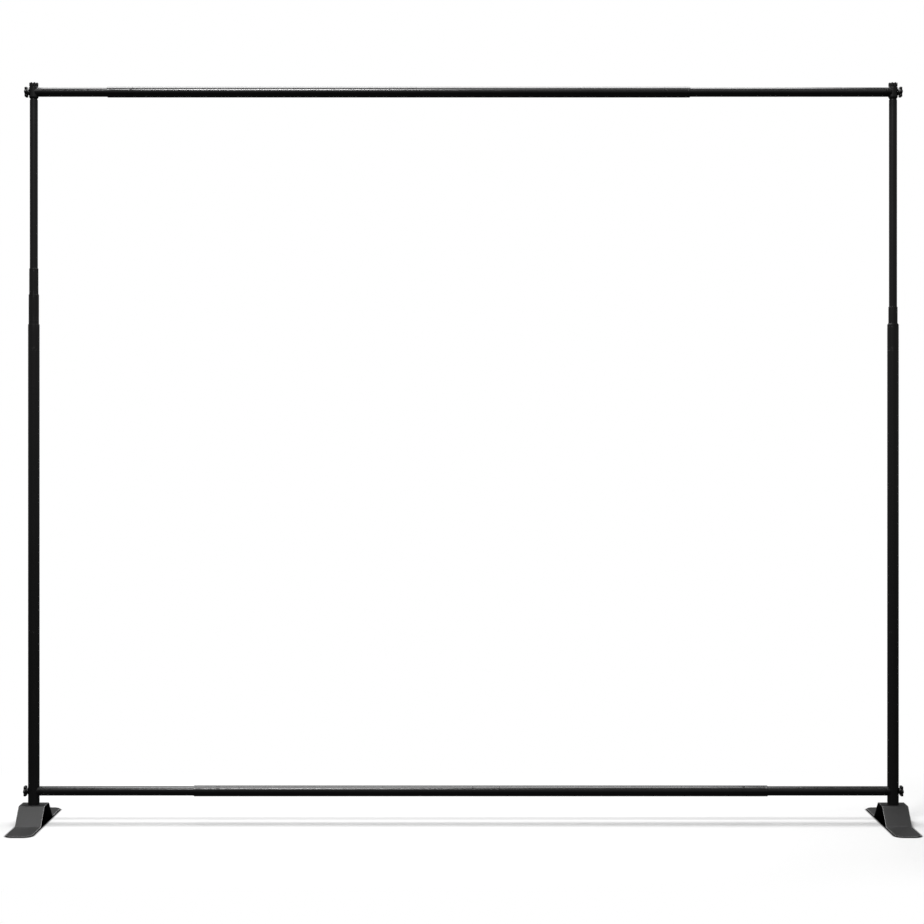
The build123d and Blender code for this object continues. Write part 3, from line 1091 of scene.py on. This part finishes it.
@dataclass
class Foot:
    """Bent steel foot under one post, with its bolt."""

    side: Side
    plate: float = 4.0 * MM
    ridge_half: float = 31.0 * MM
    hump_half: float = 86.0 * MM
    bend: float = 9.0 * MM
    toe_corner: float = 28.0 * MM
    edge: float = 0.7 * MM
    bend_share: float = 0.42
    bolt_head_radius: float = 9.8 * MM
    bolt_head_height: float = 6.4 * MM
    bolt_rim: float = 1.4 * MM
    bolt_dish: float = 0.5 * MM
    bolt_flange_radius: float = 12.0 * MM
    bolt_flange: tuple[float, float] = (6.2 * MM, 8.4 * MM)
    bolt_flange_chamfer: float = 0.6 * MM
    bolt_radius: float = 5.0 * MM

    def plate_piece(self) -> bpy.types.Object:
        """Bend the plate: toe, ramp, ridge, ramp, toe.

        Returns:
            The foot.
        """
        node = f"{self.side.value}_foot"
        low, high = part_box(node)
        half_plate = self.plate / 2
        down, up = low.z + half_plate, high.z - half_plate
        line = [(low.y, down), (-self.hump_half, down), (-self.ridge_half, up),
                (self.ridge_half, up), (self.hump_half, down), (high.y, down)]
        points = [Vector((low.x, y, z)) for y, z in line]
        piece = start_at(f"{node}_looks", points[0])
        draw(points, closed=False)
        width = Vector((high.x - low.x, 0, 0))
        bpy.ops.mesh.extrude_edges_move(TRANSFORM_OT_translate={"value": width})
        self._bend_edges(piece)
        self._round_toes(piece)
        leave(piece)
        wall = piece.modifiers.new("plate", "SOLIDIFY")
        wall.thickness = self.plate
        wall.offset = 0.0
        wall.use_even_offset = True
        pick_up(piece)
        bpy.ops.object.modifier_apply(modifier=wall.name)
        round_edges(piece, self.edge, 3, 40.0)
        return dress(piece, FOOT_COAT, BODY_OF[node], node)

    def _bend_edges(self, piece: bpy.types.Object) -> None:
        """Round the four bends across the plate.

        Args:
            piece: The flat-sided strip, in edit mode.
        """
        bpy.ops.mesh.select_mode(type="EDGE")
        bpy.ops.mesh.select_all(action="DESELECT")
        shape = bmesh.from_edit_mesh(piece.data)
        for edge in shape.edges:
            if len(edge.link_faces) == 2:
                edge.select_set(True)
        bmesh.update_edit_mesh(piece.data)
        bpy.ops.mesh.bevel(offset=self.bend * self.bend_share, offset_type="OFFSET", segments=8,
                           affect="EDGES")

    def _round_toes(self, piece: bpy.types.Object) -> None:
        """Round the four corners of the toes.

        Args:
            piece: The strip, in edit mode.
        """
        bpy.ops.mesh.select_mode(type="VERT")
        bpy.ops.mesh.select_all(action="DESELECT")
        shape = bmesh.from_edit_mesh(piece.data)
        reach = max(abs(v.co.y + piece.location.y) for v in shape.verts)
        for vert in shape.verts:
            if abs(vert.co.y + piece.location.y) > reach - MM:
                vert.select_set(True)
        bmesh.update_edit_mesh(piece.data)
        bpy.ops.mesh.bevel(offset=self.toe_corner, offset_type="OFFSET", segments=12,
                           affect="VERTICES")

    def bolt(self) -> bpy.types.Object:
        """Flanged hexagon bolt under the ridge."""
        node = f"{self.side.value}_foot_bolt"
        low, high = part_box(node)
        axis = Vector(((low.x + high.x) / 2, 0, low.z))
        bpy.ops.object.select_all(action="DESELECT")
        middle = axis + Vector((0, 0, self.bolt_head_height / 2))
        bpy.ops.mesh.primitive_cylinder_add(vertices=6, radius=self.bolt_head_radius,
                                            depth=self.bolt_head_height, location=middle)
        head = bpy.context.active_object
        head.name = f"{node}_head"
        head.data.name = head.name
        pick_up(head)
        bpy.ops.object.mode_set(mode="EDIT")
        choose(head, lambda face: face.normal.z < -0.9)
        bpy.ops.mesh.inset(thickness=self.bolt_rim)
        sink = {"value": (0, 0, self.bolt_dish)}
        bpy.ops.mesh.extrude_region_move(TRANSFORM_OT_translate=sink)
        leave(head)
        round_edges(head, 0.5 * MM, 2)
        dress(head, ZINC, BODY_OF[node], node)
        length = high.z - low.z
        under, over = self.bolt_flange
        flange, shank_radius = self.bolt_flange_radius, self.bolt_radius
        chamfer = self.bolt_flange_chamfer
        profile = [(under, 0.0), (under, flange - chamfer), (under + chamfer, flange),
                   (over, flange), (over, shank_radius), (length - MM, shank_radius),
                   (length, shank_radius - MM), (length, 0.0)]
        shank = turned(f"{node}_flange", profile, axis, Run.UP, 0.2 * MM, SMALL_TURNED_STEPS)
        return dress(shank, ZINC, BODY_OF[node])

    def build(self) -> bpy.types.Object:
        """Build and dress the foot and its bolt.

        Returns:
            The foot's plate.
        """
        self.bolt()
        return self.plate_piece()


@dataclass
class HiddenPieces:
    """CAD nodes that keep their own shape and only get a finish."""

    finishes: dict[str, Finish] = field(default_factory=lambda: {
        "guide_plastic": ACETAL, "zinc_steel": ZINC, "black_tube": POST_COAT,
        "cast_alloy": CAST_COAT, "black_plastic": MOULDED, "foot_steel": FOOT_COAT})

    def build(self) -> None:
        """Give every CAD node the finish of its slot."""
        slots = {part["node"]: part["material_slot"] for part in frame["record"]["subparts"]}
        for name, node in frame["nodes"].items():
            finish = self.finishes[slots[name]]
            if finish is POST_COAT and name.startswith(("top_", "bottom_")):
                finish = BAR_COAT
            node.data.materials.clear()
            node.data.materials.append(finish.material())


# Studio


@dataclass(frozen=True)
class Softbox:
    """One rectangular lamp: where it hangs, what it faces, its sides and its watts."""

    name: str
    place: Place
    target: Place
    size: tuple[float, float]
    power: float

    def hang(self) -> bpy.types.Object:
        """Add the lamp.

        Returns:
            The lamp.
        """
        way = (Vector(self.target) - Vector(self.place)).to_track_quat("-Z", "Y").to_euler()
        bpy.ops.object.select_all(action="DESELECT")
        bpy.ops.object.light_add(type="AREA", location=self.place, rotation=way)
        lamp = bpy.context.active_object
        lamp.name = self.name
        lamp.data.shape = "RECTANGLE"
        lamp.data.size, lamp.data.size_y = self.size
        lamp.data.energy = self.power
        return lamp


SOFTBOXES = (
    Softbox("overhead", (-0.35, 1.4, 5.6), (-0.35, 1.4, 0), (4.6, 3.4), 300.0),
    Softbox("front_key", (-1.15, -3.2, 5.75), (-0.4, 0, 1.2), (1.7, 0.6), 125.0),
    Softbox("front_strip", (1.2, -3.2, 5.75), (0.8, 0, 1.2), (4.4, 0.9), 14.0),
)


@dataclass
class Studio:
    """Floor, light and camera."""

    lens: float = 66.99
    sensor: float = 36.0
    camera_place: Place = (-0.005, -6.1, 1.41)
    shift: float = -0.040
    floor_half: float = 12.0
    floor_drop: float = 0.2 * MM
    floor_fade: tuple[float, float] = (0.45, 0.9)
    side_fade: tuple[float, float] = (1.9, 2.5)
    # Reach of the painted shade beyond each foot's outline.
    painted_shade_reach: float = 11.0 * MM
    toe: float = 28.0 * MM
    floor_colour: Colour = (0.96, 0.96, 0.96)
    floor_bounce: Colour = (0.04, 0.04, 0.04)
    room_level: float = 0.16

    def camera(self) -> None:
        """Camera at the photograph's place, level and looking along the feet."""
        bpy.ops.object.select_all(action="DESELECT")
        bpy.ops.object.camera_add(location=self.camera_place, rotation=(pi / 2, 0, 0))
        camera = bpy.context.active_object
        camera.data.lens = self.lens
        camera.data.sensor_width = self.sensor
        camera.data.shift_y = self.shift
        camera.data.clip_end = 100.0
        bpy.context.scene.camera = camera
        bpy.context.scene.view_settings.view_transform = "Standard"

    def _painted_foot_shade(self, graph: Graph, foot: bpy.types.Object) -> Wire:
        """Painted dark shade that follows a foot, inside the rounded outline of its plate.

        Args:
            graph: Graph of the floor's material.
            foot: The foot.

        Returns:
            The mask, 1 under the foot.
        """
        xs = [corner[0] for corner in foot.bound_box]
        ys = [corner[1] for corner in foot.bound_box]
        place = graph.place(foot)
        beside = abs(graph.along(place, "X") - (min(xs) + max(xs)) / 2)
        beyond = abs(graph.along(place, "Y") - (min(ys) + max(ys)) / 2)
        beside = (beside - (max(xs) - min(xs)) / 2 + self.toe).larger(0.0)
        beyond = (beyond - (max(ys) - min(ys)) / 2 + self.toe).larger(0.0)
        outside = (beside * beside + beyond * beyond).root() - self.toe
        return 1.0 - outside.ramp(0.0, self.painted_shade_reach)

    def floor(self, feet: Sequence[bpy.types.Object]) -> None:
        """White floor that keeps the real shadow near the object, with a painted black shade under
        each foot.

        Args:
            feet: The two feet that stand on it.
        """
        bpy.ops.object.select_all(action="DESELECT")
        bpy.ops.mesh.primitive_plane_add(size=2 * self.floor_half,
                                         location=(0, 0, -self.floor_drop))
        floor = bpy.context.active_object
        floor.name = "floor"
        made = bpy.data.materials.new("floor")
        made.use_nodes = True
        graph = Graph(made.node_tree)
        place = graph.place()
        far = abs(graph.along(place, "Y")).ramp(*self.floor_fade)
        far = far.larger(abs(graph.along(place, "X")).ramp(*self.side_fade))
        # Painted shade: the floor turns black under and round each foot, and follows the feet.
        first, second = (self._painted_foot_shade(graph, foot) for foot in feet)
        shade = first.larger(second)
        near = graph.blend(shade, self.floor_colour, (0.0, 0.0, 0.0))
        seen = graph.node("ShaderNodeLightPath", {}, {}, output="Is Camera Ray")
        colour = graph.blend(seen, self.floor_bounce, near)
        matt = graph.node("ShaderNodeBsdfDiffuse", {}, {"Color": colour})
        glow = graph.node("ShaderNodeEmission", {}, {"Color": (1, 1, 1, 1), "Strength": 1.0})
        shader = graph.node("ShaderNodeMixShader", {}, {0: far * seen, 1: matt, 2: glow})
        graph.finish(shader)
        floor.data.materials.append(made)

    def world(self) -> None:
        """White backdrop for the camera, and a dim room for everything else."""
        world = bpy.data.worlds.new("studio")
        bpy.context.scene.world = world
        world.use_nodes = True
        graph = Graph(world.node_tree)
        seen = graph.node("ShaderNodeLightPath", {}, {}, output="Is Camera Ray")
        level = self.room_level + seen * (1.0 - self.room_level)
        shader = graph.node("ShaderNodeBackground", {},
                            {"Color": (1, 1, 1, 1), "Strength": level})
        graph.finish(shader, "ShaderNodeOutputWorld")

    def build(self, feet: Sequence[bpy.types.Object]) -> None:
        """Set up the whole studio round the two feet."""
        self.camera()
        self.floor(feet)
        self.world()
        for softbox in SOFTBOXES:
            softbox.hang()


def main() -> None:
    """Build the frame and its studio."""
    logging.basicConfig(level=logging.INFO, format="%(message)s")
    HiddenPieces().build()
    feet = [Foot(side).build() for side in Side]
    for side in Side:
        Post(side).build()
    for bar in Bar:
        Crossbar(bar).build()
    Studio().build(feet)


if __name__ == "__main__":
    main()
